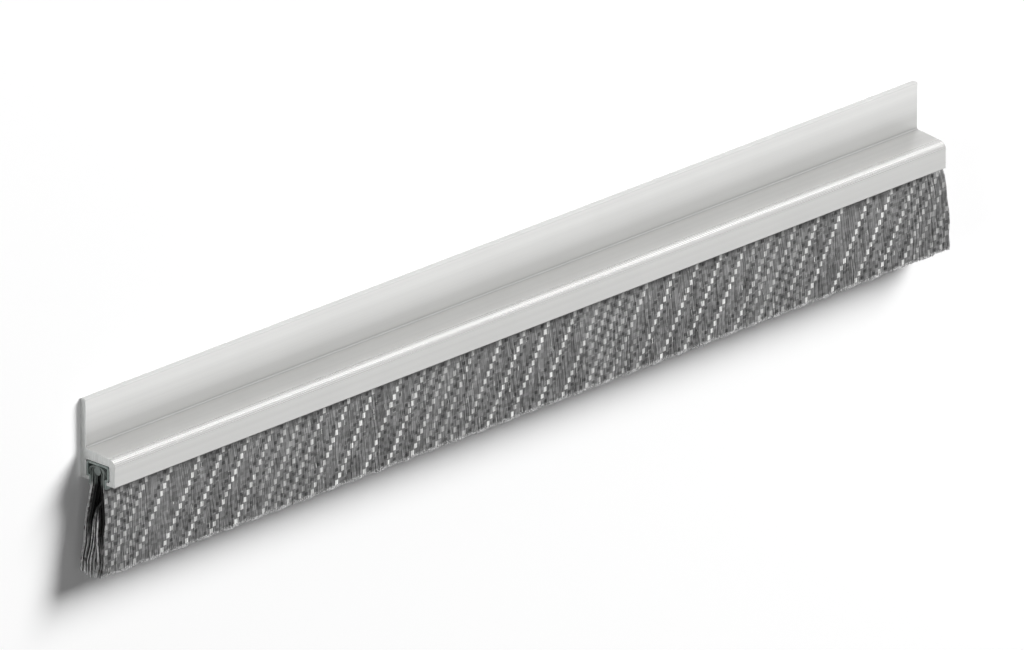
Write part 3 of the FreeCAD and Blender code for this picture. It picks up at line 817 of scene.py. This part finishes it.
def foldAndFall(tree, given, strand):
    # The first part turns over the wire, the rest runs down to the tip, with longer steps there.
    # Below goes from 0 at the neck to 1 at the tips
    along = addNode(tree, "GeometryNodeSplineParameter").outputs["Factor"]
    foldAngle = ramp(tree, along, 0.0, filaments["foldShare"], math.pi / 2, 0.0)
    foldRise = times(tree, calc(tree, "SINE", foldAngle),
                     between(tree, given["Fold Inner"], given["Fold Rise"], strand["share"]))
    down = calc(tree, "POWER", ramp(tree, along, filaments["foldShare"], 1.0),
                filaments["stepGrowth"])
    crownShare = times(tree, strand["across"], strand["across"])
    tipLevel = calc(tree, "MULTIPLY_ADD", crownShare, given["Crown"], given["Tip Level"])
    tipLevel = calc(tree, "MULTIPLY_ADD", strandAttribute(tree, "strandTrim"), given["Trim"], tipLevel)
    y = plus(tree, between(tree, given["Fold Level"], tipLevel, down), foldRise)
    below = calc(tree, "DIVIDE", minus(tree, given["Neck Level"], y),
                 minus(tree, given["Neck Level"], given["Tip Level"]))
    strand["y"] = y
    strand["fromTip"] = minus(tree, y, tipLevel)
    strand["below"] = limit(tree, below)
    strand["foldReach"] = times(tree, calc(tree, "COSINE", foldAngle),
                                between(tree, given["Fold Inner"], given["Fold Reach"],
                                        strand["share"]))


def reachOut(tree, given, strand):
    # Below the neck both faces bulge out soon, and the core fills in between the legs later.
    # Most leg strands lie near the outer face
    above = minus(tree, 1.0, strand["below"])
    early = minus(tree, 1.0, calc(tree, "POWER", above, filaments["bulge"]))
    backZ = between(tree, minus(tree, given["Fold Z"], given["Throat Reach"]),
                    given["Tip Back"], early)
    frontZ = between(tree, plus(tree, given["Fold Z"], given["Throat Reach"]),
                     given["Tip Front"], early)
    middleZ = between(tree, backZ, frontZ, 0.5)
    halfZ = minus(tree, frontZ, middleZ)
    legInner = minus(tree, halfZ, given["Leg Thickness"])
    skin = filaments["outerSkin"]
    outerSpot = calc(tree, "MULTIPLY_ADD", strand["share"], skin,
                     ramp(tree, strand["share"], 0.0, filaments["insideShare"], 0.0, 1.0 - skin))
    legReach = between(tree, legInner, halfZ, outerSpot)
    filling = ramp(tree, strand["below"], given["Hollow Drop"], given["Hollow End"],
                   *filaments["coreFilling"])
    coreReach = times(tree, legInner, filling, strand["share"])
    reach = between(tree, coreReach, legReach, strand["isLeg"])
    inHead = ramp(tree, strand["y"], given["Head Floor"], given["Fold Level"])
    return middleZ, between(tree, reach, strand["foldReach"], inHead)


def crimpStrand(tree, given, strand):
    # One wave whose phase slips along the strip, so that the hollows line up in slanted rows
    turns = minus(tree, calc(tree, "DIVIDE", strand["y"], given["Crimp Length"]),
                  calc(tree, "DIVIDE", strand["x"], given["Crimp Rake"]))
    loose = times(tree, strand["lean"], filaments["crimpLooseness"])
    phase = calc(tree, "MULTIPLY_ADD", turns, 2 * math.pi, loose)
    swing = times(tree, given["Crimp Depth"],
                  ramp(tree, strand["below"], *filaments["crimpGrowth"]))
    inwards = times(tree, minus(tree, calc(tree, "COSINE", phase), 1.0), swing)
    sideways = times(tree, calc(tree, "SINE", phase), times(tree, swing, 0.5))
    return inwards, sideways


def fanOut(tree, given, strand, sideways):
    # Stray lean, the fan at both ends, which opens at once at the far end and evenly at the near
    # one, and the core that stays back from the ends' upper part
    x = strand["x"]
    below = strand["below"]
    late = times(tree, below, below)
    stray = times(tree, strand["lean"], calc(tree, "ABSOLUTE", strand["lean"]), late)
    moved = plus(tree, calc(tree, "MULTIPLY_ADD", stray, given["Wander"], x), sideways)
    fromEnd = minus(tree, given["Half Length"], calc(tree, "ABSOLUTE", x))
    fan = ramp(tree, fromEnd, 0.0, given["End Zone"], 1.0, 0.0)
    fan = times(tree, fan, fan)
    farFan = times(tree, given["Far Splay"], calc(tree, "POWER", below, filaments["farOpening"]))
    nearFan = times(tree, given["Near Splay"], below)
    isFar = calc(tree, "GREATER_THAN", x, 0.0)
    outwards = times(tree, fan, between(tree, nearFan, farFan, isFar))
    recess = calc(tree, "MAXIMUM", minus(tree, given["Core Recess"], fromEnd), 0.0)
    isCore = minus(tree, 1.0, strand["isLeg"])
    heldBack = times(tree, recess, isCore,
                     ramp(tree, below, 0.0, filaments["recessDrop"], 1.0, 0.0, smooth=True))
    return calc(tree, "MULTIPLY_ADD", minus(tree, outwards, heldBack), calc(tree, "SIGN", x), moved)


def shadeHollow(tree, strand):
    # Hardly any light gets into the hollow between the legs: the core is dark above its start and
    # along both sides, and the legs on their inner side, the back one less, down to near the tips
    below = strand["below"]
    share = strand["share"]
    openShade = ramp(tree, below, *filaments["hollowOpens"], 1.0, 0.0)
    coreEdge = times(tree, openShade, calc(tree, "GREATER_THAN", share, filaments["coreSide"]))
    coreTop = ramp(tree, below, *filaments["coreLit"], 1.0, 0.0)
    coreShade = calc(tree, "MAXIMUM", coreTop, coreEdge)
    isFront = calc(tree, "GREATER_THAN", strand["across"], 0.0)
    backShare = between(tree, filaments["backLegDark"], 1.0, isFront)
    darkShare = ramp(tree, below, *filaments["legDarkDrops"], *filaments["legDarkShares"])
    darkShare = times(tree, darkShare, backShare)
    legShade = times(tree, calc(tree, "LESS_THAN", share, darkShare), openShade)
    return between(tree, coreShade, legShade, strand["isLeg"])


def bristleTree():
    tree, given, put = newGeometryTree(
        "crimpedBristles",
        [("Strands", "NodeSocketInt", 100), ("Layers", "NodeSocketInt", 10),
         ("Steps", "NodeSocketInt", 10), ("Seed", "NodeSocketInt", 1)]
        + [(name, "NodeSocketFloat", 0.0) for name in strandSizes]
        + [("Finish", "NodeSocketMaterial", None)])
    strands = plantStrands(tree, given)
    strand = readStrand(tree)
    foldAndFall(tree, given, strand)
    middleZ, reach = reachOut(tree, given, strand)
    inwards, sideways = crimpStrand(tree, given, strand)
    side = calc(tree, "SIGN", strand["across"])
    spot = addNode(tree, "ShaderNodeCombineXYZ", {
        "X": fanOut(tree, given, strand, sideways), "Y": strand["y"],
        "Z": calc(tree, "MULTIPLY_ADD", plus(tree, reach, inwards), side, middleZ),
    })
    bent = addNode(tree, "GeometryNodeSetPosition", {"Geometry": strands, "Position": spot.outputs[0]})
    marked = storeValue(tree, bent.outputs[0], "fromTip", strand["fromTip"])
    marked = storeValue(tree, marked, "hollowShade", shadeHollow(tree, strand))

    # Three-sided strands, each rolled by its own angle
    fullTurn = 6.28
    rolled = addNode(tree, "GeometryNodeSetCurveTilt", {
        "Curve": marked, "Tilt": times(tree, strandAttribute(tree, "strandTone"), fullTurn),
    })
    circle = addNode(tree, "GeometryNodeCurvePrimitiveCircle", {
        "Resolution": 3, "Radius": given["Strand Radius"],
    })
    skinned = addNode(tree, "GeometryNodeCurveToMesh", {
        "Curve": rolled.outputs[0], "Profile Curve": circle.outputs[0], "Fill Caps": True,
    })
    realized = addNode(tree, "GeometryNodeRealizeInstances", {0: skinned.outputs[0]})
    finished = addNode(tree, "GeometryNodeSetMaterial", {
        "Geometry": realized.outputs[0], "Material": given["Finish"],
    })
    plug(tree, put["Geometry"], finished.outputs["Geometry"])
    return tree


def strandValue(tree, name):
    node = addNode(tree, "ShaderNodeAttribute", attribute_type="GEOMETRY", attribute_name=name)
    return node.outputs["Fac"]


def inside(tree, value, ends):
    return times(tree, calc(tree, "GREATER_THAN", value, ends[0]),
                 calc(tree, "LESS_THAN", value, ends[1]))


def gridSpots(tree, x, y, z):
    # Where a point lies on the grid of painted crest glints, in columns, which lean as the brush
    # bulges out, and in rows
    neckFront = (wireLow.z + wireHigh.z) / 2 + filaments["throatReach"]
    bulge = minus(tree, z, neckFront)
    columnSpot = calc(tree, "MULTIPLY_ADD", bulge, filaments["columnLean"], x)
    columnSpot = calc(tree, "DIVIDE", columnSpot, filaments["columnWidth"])
    return columnSpot, calc(tree, "DIVIDE", y, filaments["rowHeight"])


def crestGlints(tree, x, columnSpot, rowSpot, depth):
    # Painted glints on the crests of the crimp: from one column along the strip to the next, a
    # crest's glint stands one row higher. The strands inside lie at random
    isOrdered = calc(tree, "GREATER_THAN", depth, filaments["orderedShare"])
    slip = times(tree, minus(tree, 1.0, isOrdered), strandValue(tree, "strandTone"))
    inRow = calc(tree, "FRACT", rowSpot)
    cellTurn = filaments["columnWidth"] / filaments["crimpRake"]
    turn = minus(tree, calc(tree, "FLOOR", columnSpot), calc(tree, "FLOOR", rowSpot))
    turn = plus(tree, times(tree, turn, cellTurn), slip)
    turn = minus(tree, calc(tree, "FRACT", plus(tree, turn, 0.5)), 0.5)
    away = calc(tree, "ABSOLUTE", turn)
    inColumn = calc(tree, "ABSOLUTE", minus(tree, calc(tree, "FRACT", columnSpot), 0.5))
    mark = times(tree, inside(tree, inRow, filaments["markEnds"]),
                 calc(tree, "LESS_THAN", inColumn, filaments["markHalfWidth"]))
    crest = calc(tree, "LESS_THAN", away, cellTurn / 2)
    halfCrest = calc(tree, "GREATER_THAN", away, 0.5 - cellTurn / 2)

    # Clusters along the strip, where the glints are fainter and have weak ones half-way between
    cycle = calc(tree, "COSINE", times(tree, x, 2 * math.pi / filaments["clusterLength"]))
    strong = ramp(tree, cycle, *filaments["faintCycle"], filaments["faintCrest"], 1.0)
    weak = ramp(tree, cycle, *filaments["weakCycle"], 0.0, filaments["weakCrest"])
    glint = times(tree, plus(tree, times(tree, crest, strong), times(tree, halfCrest, weak)), mark)

    # Painted shade in small gaps about a quarter turn from the crests
    nearGap = calc(tree, "ABSOLUTE", minus(tree, away, filaments["dotTurn"]))
    gapShade = times(tree, calc(tree, "LESS_THAN", nearGap, cellTurn * filaments["dotShare"]),
                 inside(tree, inRow, filaments["dotEnds"]), filaments["dotStrength"])
    return glint, gapShade


def patchValue(tree, z, columnSpot, rowSpot):
    # Small patches of lighter and darker strands, two to each cell of the grid
    depthSpot = calc(tree, "DIVIDE", z, filaments["columnWidth"])
    patchSpot = addNode(tree, "ShaderNodeCombineXYZ", {
        "X": calc(tree, "FLOOR", columnSpot), "Y": calc(tree, "FLOOR", times(tree, rowSpot, 2.0)),
        "Z": calc(tree, "FLOOR", depthSpot),
    })
    patch = addNode(tree, "ShaderNodeTexWhiteNoise", {
        "Vector": patchSpot.outputs[0],
    }, noise_dimensions="3D")
    return patch.outputs["Value"]


def makeFilament():
    material, tree, shader, place = newMaterial("crimpedFilament")
    parts = addNode(tree, "ShaderNodeSeparateXYZ", {0: place})
    x = parts.outputs["X"]
    y = parts.outputs["Y"]
    z = parts.outputs["Z"]
    across = strandValue(tree, "strandAcross")
    depth = calc(tree, "ABSOLUTE", across)
    columnSpot, rowSpot = gridSpots(tree, x, y, z)
    glint, gapShade = crestGlints(tree, x, columnSpot, rowSpot, depth)
    skin = placeGroup(tree, fineGrain, Place=place, Grain_Size=0.3 * mm, Cloud_Size=4 * mm)
    tone = ramp(tree, strandValue(tree, "strandTone"), 0.0, 1.0, *filaments["strandTones"])
    patch = patchValue(tree, z, columnSpot, rowSpot)
    # The last factor is painted light just under the holder's edge, against its shadow
    tone = times(tree, tone, ramp(tree, patch, 0.0, 1.0, *filaments["patchTones"]),
                 spread(tree, skin["Clouds"], *filaments["cloudTones"]),
                 ramp(tree, y, holderEdge - filaments["paintedLightReach"],
                      holderEdge - filaments["paintedLightReach"] / 2, 1.0, filaments["paintedLightTone"]))

    # Painted light on the core and the back leg's last strands at the cut ends, painted shade in the
    # hollow, pale cut tips, and inside the holder zinc rubbed off on the strands with painted shade
    isCore = calc(tree, "LESS_THAN", depth, filaments["legShare"])
    isEnd = calc(tree, "GREATER_THAN", calc(tree, "ABSOLUTE", strandValue(tree, "strandX")),
                 backingHigh.x - filaments["endStrands"])
    isBack = calc(tree, "LESS_THAN", across, 0.0)
    isPaintedLight = calc(tree, "MAXIMUM", isCore, times(tree, isEnd, isBack))
    plain = blendColours(tree, isPaintedLight, filaments["colour"], filaments["paintedLightCoreColour"])
    colour = timesGrey(tree, tone, plain)
    colour = blendColours(tree, gapShade, colour, filaments["shadeColour"])
    colour = blendColours(tree, glint, colour, filaments["glintColour"])
    cut = ramp(tree, strandValue(tree, "fromTip"), *filaments["cutReach"],
               filaments["cutStrength"], 0.0)
    colour = blendColours(tree, cut, colour, filaments["cutColour"])
    colour = blendColours(tree, strandValue(tree, "hollowShade"), colour, filaments["hollowShadeColour"])
    zincAndPaintedShade = ramp(tree, y, backingLow.y, holderEdge)
    colour = blendColours(tree, zincAndPaintedShade, colour, filaments["headColour"])
    feed(tree, shader, {"Base Color": colour, "Roughness": filaments["roughness"],
                        "Specular IOR Level": filaments["specular"]})
    addBump(tree, shader, skin["Grain"], strength=0.2, distance=0.01 * mm)
    return material


def sizesByName():
    # The tree's inputs that the dictionary names alike: Fold Inner is foldInner, and so on
    keys = {name: name[0].lower() + name[1:].replace(" ", "") for name in strandSizes}
    return {name: filaments[key] for name, key in keys.items() if key in filaments}


def makeBristles(finish):
    tree = bristleTree()
    half = (backingHigh.x - backingLow.x) / 2
    columns = int((2 * half) / filaments["pitch"] / filaments["banks"])
    pitch = 2 * half / (columns * filaments["banks"])
    radius = filaments["radius"]
    foldLevel = (wireLow.y + wireHigh.y) / 2
    sizes = sizesByName()
    sizes.update({
        "Column Pitch": pitch, "Strand Radius": radius, "Half Length": half,
        "Fold Level": foldLevel, "Fold Z": (wireLow.z + wireHigh.z) / 2,
        "Head Floor": foldLevel - filaments["headFloor"],
        "Neck Level": holderEdge - filaments["neckDrop"], "Tip Level": curtainLow.y,
        "Tip Back": filaments["tipBack"] + radius, "Tip Front": filaments["tipFront"] - radius,
    })
    blank = bpy.data.meshes.new("blank")
    for bank in range(filaments["banks"]):
        source = bpy.data.objects.new("bankSource", blank)
        scene.collection.objects.link(source)
        nodes = source.modifiers.new("bristles", "NODES")
        nodes.node_group = tree
        setInputs(nodes, {
            **sizes, "Strands": columns * filaments["layers"], "Layers": filaments["layers"],
            "Steps": filaments["steps"], "Seed": filaments["seed"] + filaments["seedStep"] * bank,
            "Start X": -half + bank * columns * pitch, "Finish": finish,
        })
        piece = toPlainMesh(source, f"bristle_bank_{bank + 1}")
        for polygon in piece.data.polygons:
            polygon.use_smooth = len(polygon.vertices) == 4    # the strands' sides, not their cut ends
        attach(piece, "root")
        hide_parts("bristle_curtain")
        triangles = sum(len(polygon.vertices) - 2 for polygon in piece.data.polygons)
        print(piece.name, "triangles", triangles)


makeCamera()
makeStage()

sweptSection = sweptTree()
aluminium = makeAluminium()
sawn = makeSawnAluminium()
carrierPiece = sweepPiece("carrier_extrusion", carrierSection(), carrierLow.x, carrierHigh.x,
                          carrier["roundSteps"], aluminium, sawn, carrier["sawnEdge"])
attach(carrierPiece, "root")
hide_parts("carrier_profile")
print("carrier swept")

for node, finish in (("backing_channel", makeZinc()), ("core_wire", makeWireSteel())):
    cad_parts[node].material_slots[0].material = finish
print("backing and wire finished")

makeBristles(makeFilament())
